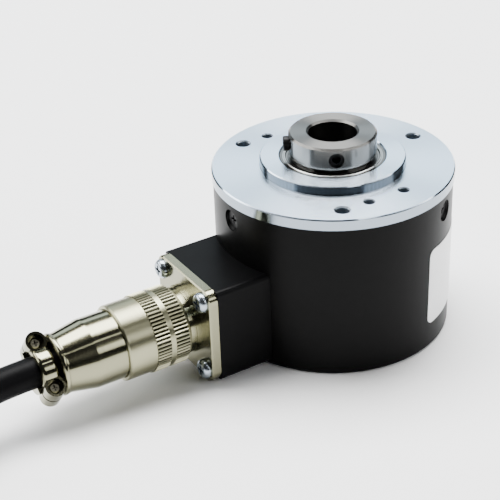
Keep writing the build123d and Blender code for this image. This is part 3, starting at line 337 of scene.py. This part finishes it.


# Painted shade in circles, outwards: the inner ring's face, the gap under the shield painted dark as
# shade, then the outer ring's inner edge, its face and its chamfer, painted as light and dark
# circles.
ring_tones = [(8.5, 0.5), (9.8, 0.6), (10.0, 0.05), (11.7, 0.05), (11.9, 1.0), (12.3, 1.0)]
ring_tones += [(12.5, 0.25), (12.8, 0.5), (13.0, 0.05)]
dress(
    turned_finish("bearing_steel", (0.30, 0.30, 0.29), 0.2, tones=ring_tones),
    "front_bearing_outer_ring",
    "front_bearing_inner_ring",
    "rear_bearing_outer_ring",
    "rear_bearing_inner_ring",
    "bearing_spacer",
)
ball_finish = ground_finish("ball_steel", (0.82, 0.82, 0.82), 0.06)
dress(ball_finish, "front_bearing_balls", "rear_bearing_balls")
sheet_finish = ground_finish("sheet_steel", (0.20, 0.20, 0.19), 0.3)
dress(sheet_finish, "front_bearing_cage", "rear_bearing_cage")
# The shield is pressed with a groove, so its circles are painted as alternating shade and highlight
# as well.
shield_tones = [(9.8, 0.1), (10.1, 1.2), (10.3, 0.3), (10.8, 0.5), (11.0, 0.08)]
shield_tones += [(11.2, 0.7), (11.5, 0.6), (11.7, 0.05)]
shield_finish = turned_finish("pressed_shield", (0.24, 0.24, 0.23), 0.25, tones=shield_tones)
dress(shield_finish, "front_bearing_shields", "rear_bearing_shields")
spring_finish = ground_finish("spring_steel", (0.30, 0.29, 0.29), 0.35)
dress(spring_finish, "preload_washer", "retaining_ring", "plug_lock_ring")


def closed_grid(name, points):
    """A piece whose surface is a grid of points that closes on itself both ways. Its faces look
    outwards where going along the rows and then along the columns turns anticlockwise, seen from
    outside."""
    rows, columns = points.shape[:2]
    i, j = np.meshgrid(np.arange(rows), np.arange(columns), indexing="ij")
    next_i, next_j = (i + 1) % rows, (j + 1) % columns
    corners = [i * columns + j, next_i * columns + j, next_i * columns + next_j, i * columns + next_j]
    quads = np.stack(corners, axis=-1)
    mesh = bpy.data.meshes.new(name)
    mesh.from_pydata(points.reshape(-1, 3).tolist(), [], quads.reshape(-1, 4).tolist())
    mesh.shade_smooth()
    return add_object(name, mesh)


def lip_points(lip_r, bead_r):
    """A rolled lip round Z, a thin ring: the first parameter goes round the axis at the lip's
    radius, the second round the lip's own section, a circle of the bead's radius."""
    around = np.linspace(0, 2 * pi, 160, endpoint=False)[:, None]
    section = np.linspace(0, 2 * pi, 20, endpoint=False)[None, :]
    reach = lip_r + bead_r * np.cos(section)
    rise = bead_r * np.sin(section) + 0 * around
    return np.stack([reach * np.cos(around), reach * np.sin(around), rise], axis=-1)


# The front shield's edge is rolled into the outer ring's groove, level with the ring's face.
shield_lip_middle = np.array([0.0, 0.0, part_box("front_bearing_outer_ring")[1].z])
lip = closed_grid("shield_lip", shield_lip_middle + lip_points(11.85 * mm, 0.19 * mm))
lip.data.materials.append(ground_finish("lip_steel", (0.55, 0.55, 0.53), 0.2))
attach(lip, "base")

# Hollow shaft and its two set screws: stainless bar, turned all over, with a clamping collar.
# The screws are steel with oiled black oxide and hexagon sockets.
dress(turned_finish("turned_stainless", (0.17, 0.168, 0.160), 0.32, wall=0.5), "hollow_shaft")
black_oxide = clouded_finish(
    "black_oxide",
    (0.008, 0.008, 0.0085),
    metallic=0.3,
    roughness=0.38,
    blotch=1.2 * mm,
    shares=(0.7, 1.4),
    grain=0.3 * mm,
    depth=0.01 * mm,
    strength=0.3,
    shine=0.15,
)
dress(black_oxide, "set_screw_a", "set_screw_b", "housing_screws")

# Code disc group: a glass disc clamped on an aluminium hub, read by a lamp in a plastic holder,
# a line mask and a receiver. It is closed in by the housing.
dress(turned_finish("turned_hub", (0.82, 0.83, 0.84), 0.3), "disc_hub", "disc_clamp_ring")


def code_glass():
    """Glass with a ring of fine radial lines: they follow the angle round the shaft's axis."""
    clear, ink, lines = (0.85, 0.92, 0.90), (0.05, 0.05, 0.05), 1024
    material, tree, shader = start_finish("code_glass", clear, 0.0, 0.05)
    shader.inputs["IOR"].default_value = 1.5
    shader.inputs["Alpha"].default_value = 0.45
    place = add_node(tree, "ShaderNodeTexCoord")
    split = add_node(tree, "ShaderNodeSeparateXYZ")
    feed(tree, place.outputs["Object"], split.inputs["Vector"])
    angle = number_step(tree, "ARCTAN2", split.outputs["Y"], split.outputs["X"])
    wave = number_step(tree, "SINE", number_step(tree, "MULTIPLY", angle, lines))
    on_line = number_step(tree, "GREATER_THAN", wave, 0.0)
    feed(tree, mixed(tree, on_line, clear, ink), shader.inputs["Base Color"])
    return material


# The mask is of the same glass and carries the same lines.
dress(code_glass(), "code_disc", "mask")


def moulded_finish(name, colour, roughness, grain=0.3 * mm, depth=0.01 * mm, shine=0.4):
    """Moulded plastic: a fine even grain and slight clouding in its gloss."""
    return clouded_finish(
        name, colour, 0.0, roughness, 6.0 * mm, (0.85, 1.15), grain, depth, 0.4, shine
    )


inner_plastic = moulded_finish("inner_plastic", (0.025, 0.025, 0.027), 0.5)
dress(inner_plastic, "emitter_holder", "board_header", "receiver", "board_parts")
dress(moulded_finish("lamp_resin", (0.45, 0.62, 0.80), 0.12), "emitter")
plated_screw = ground_finish("zinc_plated_screw", (0.36, 0.41, 0.46), 0.24, 1.5 * mm)
dress(plated_screw, "socket_screws", "block_screws", "board_screws")
dress(plated_screw, "emitter_holder_screws", "disc_hub_screw")

# Circuit board: green laminate on three brass standoffs, with a ribbon cable to the socket. The
# solder resist is darker where there is no copper below it.
board_paint, board_tree, board_shader = start_finish("green_laminate", (0.01, 0.14, 0.05), 0.0, 0.3)
bare_green, copper_green = (0.008, 0.10, 0.035), (0.015, 0.19, 0.07)
board_green = mixed(board_tree, cloud(board_tree, 2.0 * mm, 1.0), bare_green, copper_green)
feed(board_tree, board_green, board_shader.inputs["Base Color"])
dress(board_paint, "circuit_board")
brass_finish = ground_finish("turned_brass", (0.78, 0.58, 0.26), 0.25)
dress(brass_finish, "board_standoffs", "socket_pins", "plug_contacts")
dress(moulded_finish("ribbon_grey", (0.36, 0.36, 0.37), 0.5), "ribbon_cable")

# Housing: a deep drawn cup with baked satin black paint, which has the faintest orange peel. It
# is held on the flange's spigot by three countersunk screws.
housing_paint = clouded_finish(
    "satin_black_paint",
    (0.002, 0.002, 0.002),
    metallic=0.0,
    roughness=0.34,
    blotch=20.0 * mm,
    shares=(0.85, 1.2),
    grain=0.5 * mm,
    depth=0.012 * mm,
    strength=0.35,
    shine=0.06,
    detail=2.0,
)
dress(housing_paint, "housing")

# Connector block: a black moulding that fits the round housing, carries the socket and is
# screwed on from inside.
block_finish = moulded_finish("black_block", (0.002, 0.002, 0.0022), 0.36, 0.4 * mm, 0.02 * mm, 0.05)
dress(block_finish, "connector_block")

# Label: a white polyester film wrapped round the housing opposite the connector, left bare. Its
# white is slightly uneven.
film, film_tree, film_shader = start_finish("white_film", (0.90, 0.90, 0.90), 0.0, 0.35)
film_white = mixed(film_tree, cloud(film_tree, 8.0 * mm), (0.86, 0.86, 0.865), (0.93, 0.93, 0.93))
feed(film_tree, film_white, film_shader.inputs["Base Color"])
relief(film_tree, film_shader, cloud(film_tree, 0.6 * mm), 0.008 * mm, 0.3)
dress(film, "label")

# Panel socket: a square plate and a threaded barrel in one, of turned brass with nickel plate,
# which is slightly warm. Its pins sit in a black insert. The nut is on the same axis.
nut_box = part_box("coupling_nut")
connector_x = (nut_box[0].x + nut_box[1].x) / 2
connector_z = (nut_box[0].z + nut_box[1].z) / 2


def nickel_finish(name, roughness, share=1.0, **more):
    """Nickel plate over turned brass: warm and glossy, with soft rings left by the lathe. The
    share makes it lighter or darker."""
    centre = (connector_x, 0.0, connector_z)
    colour = (0.25 * share, 0.243 * share, 0.16 * share)
    return turned_finish(name, colour, roughness, "X", centre, 0.3 * mm, **more)


dress(nickel_finish("nickel_plate", 0.2), "socket_shell")
insert_finish = moulded_finish("insert_plastic", (0.03, 0.03, 0.03), 0.5)
dress(insert_finish, "socket_insert", "plug_insert")

# Coupling nut: nickel plated brass with two knurled bands, which turns on the plug and draws it
# onto the socket's thread. It is satin, with shade painted dark into the grooves of its bands and a
# painted highlight on their crests.
nose, bands = 0.9 * mm, 8.6 * mm
bands_front = nut_box[1].x - nose - connector_x
nut_finish = nickel_finish(
    "nickel_satin",
    0.36,
    share=1.35,
    # Painted shade in the knurl's grooves and a painted highlight on its crests, within the bands
    # only.
    tones=[(9.38, 0.06), (9.50, 0.18), (9.60, 1.0), (9.75, 1.15)],
    toned=(bands_front - bands, bands_front),
)
dress(nut_finish, "coupling_nut")

# Plug: a bright nickel plated backshell screwed on a barrel. Its rim is rolled into a round bead,
# and behind it a saddle with two sunk screws clamps the cable.
dress(nickel_finish("nickel_bright", 0.18), "backshell", "plug_barrel")
dress(nickel_finish("nickel_clamp", 0.16), "clamp_saddle")
dress(ground_finish("clamp_screw_nickel", (0.12, 0.115, 0.085), 0.28, 1.5 * mm), "clamp_screws")

clamp_length, rim_inset = 6.0 * mm, 0.2 * mm
rim_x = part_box("backshell")[0].x + clamp_length + rim_inset
rim_points = np.roll(lip_points(6.85 * mm, 0.72 * mm), 1, axis=-1)
rim = closed_grid("backshell_rim", np.array([rim_x, 0.0, connector_z]) + rim_points)
rim.data.materials.append(nickel_finish("nickel_rim", 0.2))
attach(rim, "plug")

# Cable: black jacketed, 7.5 mm thick. It leaves the plug's clamp and comes down in an S to the
# surface, where the rest of its metre is coiled for storage, two turns below and two above.
cable_r = 3.75 * mm
lay_z = floor_z + cable_r
exit_z = -29.5 * mm
drop = exit_z - lay_z
turn_r = 43.0 * mm
route = [
    (-84.5 * mm, 0.0, exit_z),
    (-94.0 * mm, 0.0, exit_z),
    (-105.22 * mm, -2.38 * mm, exit_z - 0.089 * drop),
    (-115.6 * mm, -7.01 * mm, exit_z - 0.269 * drop),
    (-124.72 * mm, -13.64 * mm, exit_z - 0.5 * drop),
    (-134.81 * mm, -18.67 * mm, exit_z - 0.731 * drop),
    (-145.68 * mm, -21.99 * mm, exit_z - 0.911 * drop),
]
# The middle of the coil, which the run meets at its front, going straight along it
coil_x = -157.05 * mm
coil_y = -23.12 * mm + turn_r


def coil_turns():
    """The coil's points, one each 15 degrees, clockwise. The first turn is the lower outer one,
    then come the lower inner, the upper inner and the upper outer one. In the last 150 degrees of
    each turn the first one moves inwards by a diameter, the second climbs round it to the upper
    layer, and the third swings over the second to the outside, always at one diameter from it."""
    step, whole, end, shift = 15, 360, 1290, 150
    travelled = np.arange(0, end + step, step, dtype=float)
    diameter = 2 * cable_r
    turn = np.floor(travelled / whole)
    share = np.clip((travelled - whole * turn - (whole - shift)) / shift, 0, 1)
    share = share * share * (3 - 2 * share)
    first = np.stack([turn_r - diameter * share, 0 * share], axis=-1)
    climb = np.radians(180 - 90 * share)
    second = first + diameter * np.stack([np.cos(climb), np.sin(climb)], axis=-1)
    swing = np.radians(90 - 90 * share)
    third = second + diameter * np.stack([np.cos(swing), np.sin(swing)], axis=-1)
    fourth = np.stack([turn_r + 0 * share, diameter + 0 * share], axis=-1)
    section = np.choose(turn.astype(int)[:, None], [first, second, third, fourth])
    radius = section[:, 0] / cos(radians(step / 2))
    angle = np.radians(-90 - travelled)
    x = coil_x + radius * np.cos(angle)
    y = coil_y + radius * np.sin(angle)
    return np.stack([x, y, lay_z + section[:, 1]], axis=-1).tolist()


def cord_curve(name, lines, radius, smoothness):
    """One curve object of round cords: each line's points are its spline's control points."""
    curve = bpy.data.curves.new(name, "CURVE")
    curve.dimensions = "3D"
    curve.bevel_depth = radius
    curve.bevel_resolution = smoothness
    curve.use_fill_caps = True
    for points in lines:
        spline = curve.splines.new("NURBS")
        spline.points.add(len(points) - 1)
        spline.points.foreach_set("co", [v for p in points for v in (*p, 1.0)])
        spline.order_u = 3
        spline.use_endpoint_u = True
        spline.resolution_u = 6
    return add_object(name, curve)


jacket = clouded_finish(
    "cable_jacket",
    (0.0015, 0.0015, 0.0018),
    metallic=0.0,
    roughness=0.42,
    blotch=3.0 * mm,
    shares=(0.81, 1.31),
    grain=0.7 * mm,
    depth=0.03 * mm,
    strength=0.4,
    shine=0.05,
)
cable = cord_curve("cable", [route + coil_turns()], cable_r, 8)
cable.data.materials.append(jacket)
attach(cable, "plug")
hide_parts("cable_tube", "cable_coil")
dress(jacket, "cable_in_plug")
dress(moulded_finish("bush_rubber", (0.008, 0.008, 0.008), 0.7, shine=0.1), "cable_bush")

# Leads: eight coloured wires, 30 mm long, left bare for the user's own terminals. They lie in
# the place of the top turn that ends there, on the turn below.
lead_r = 0.6 * mm
lead_arc = 30.0 * mm / turn_r
coil_end_angle = radians(60.0)
lead_colours = {
    "white": (0.80, 0.80, 0.78),
    "brown": (0.16, 0.06, 0.03),
    "green": (0.03, 0.25, 0.06),
    "yellow": (0.80, 0.62, 0.05),
    "grey": (0.30, 0.30, 0.31),
    "pink": (0.80, 0.30, 0.38),
    "blue": (0.03, 0.10, 0.45),
    "red": (0.55, 0.02, 0.02),
}


def lead_line(index):
    """One lead's points: the first lead is in the middle and the others in a ring round it. Each
    follows the coil, and the bundle fans out and settles on the turns below. They are cut
    unevenly, each a little shorter than the one before."""
    in_ring, fan, settling, shortening = 7, 0.12, 1.1 * mm, 0.015
    ring_r = 0.0 if index == 0 else 2.0 * mm
    place = 2 * pi * index / in_ring
    share = np.linspace(0, 1, 7)
    angle = coil_end_angle - lead_arc * (1 - shortening * index) * share
    radius = turn_r + ring_r * cos(place) * (1 + fan * share)
    height = 2 * cable_r + ring_r * sin(place) - settling * share**2
    x = coil_x + radius * np.cos(angle)
    y = coil_y + radius * np.sin(angle)
    return np.stack([x, y, lay_z + height], axis=-1).tolist()


lead_lines = [lead_line(index) for index in range(len(lead_colours))]
leads = cord_curve("cable_leads_bare", lead_lines, lead_r, 4)
for number, (colour_name, colour) in enumerate(lead_colours.items()):
    leads.data.materials.append(moulded_finish("lead_" + colour_name, colour, 0.38))
    leads.data.splines[number].material_index = number
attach(leads, "plug")
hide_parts("cable_leads")
plug_wire_finish = moulded_finish("plug_wire_sleeve", (0.45, 0.10, 0.06), 0.45)
dress(plug_wire_finish, "plug_wires")

# Tie: a black nylon strap drawn tight round the coil's four turns, on the side away from the
# encoder.


def hull_point(direction, middles, radius):
    """Where a tight band round equal circles faces a direction: the middle that lies furthest
    that way, plus the radius."""
    normal = np.stack([np.cos(direction), np.sin(direction)], axis=-1)
    furthest = np.argmax(normal @ middles.T, axis=-1)
    return middles[furthest] + radius * normal


def tie_strap():
    """The strap: its section, a rectangle with rounded edges, is carried round the coil's turns.
    The first parameter is the direction that the band faces, the second goes round its section.
    Where the floor is in the way it is pressed flat."""
    wide, thick, squareness, slack = 2.3 * mm, 0.55 * mm, 0.35, 0.2 * mm
    tie_angle = radians(160.0)
    diameter = 2 * cable_r
    inner_r = turn_r - diameter
    middles = np.array([[inner_r, 0], [turn_r, 0], [turn_r, diameter], [inner_r, diameter]])
    around = np.linspace(0, 2 * pi, 144, endpoint=False)
    section = np.linspace(0, 2 * pi, 20, endpoint=False)
    across = wide * np.sign(np.cos(section)) * np.abs(np.cos(section)) ** squareness
    outwards = thick * np.sign(np.sin(section)) * np.abs(np.sin(section)) ** squareness
    band = hull_point(around, middles, cable_r + slack)
    normal = np.stack([np.cos(around), np.sin(around)], axis=-1)
    place = band[:, None, :] + outwards[None, :, None] * normal[:, None, :]
    place[..., 1] = np.maximum(place[..., 1], floor_z - lay_z)
    out = np.array([cos(tie_angle), sin(tie_angle), 0.0])
    side = np.array([-sin(tie_angle), cos(tie_angle), 0.0])
    points = np.array([coil_x, coil_y, lay_z]) + place[..., :1] * out
    points = points + place[..., 1:] * np.array([0.0, 0.0, 1.0])
    points = points + across[None, :, None] * side
    return closed_grid("cable_tie_strap", points)


strap = tie_strap()
strap.data.materials.append(moulded_finish("tie_nylon", (0.004, 0.004, 0.004), 0.4, shine=0.1))
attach(strap, "plug")
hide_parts("cable_tie")
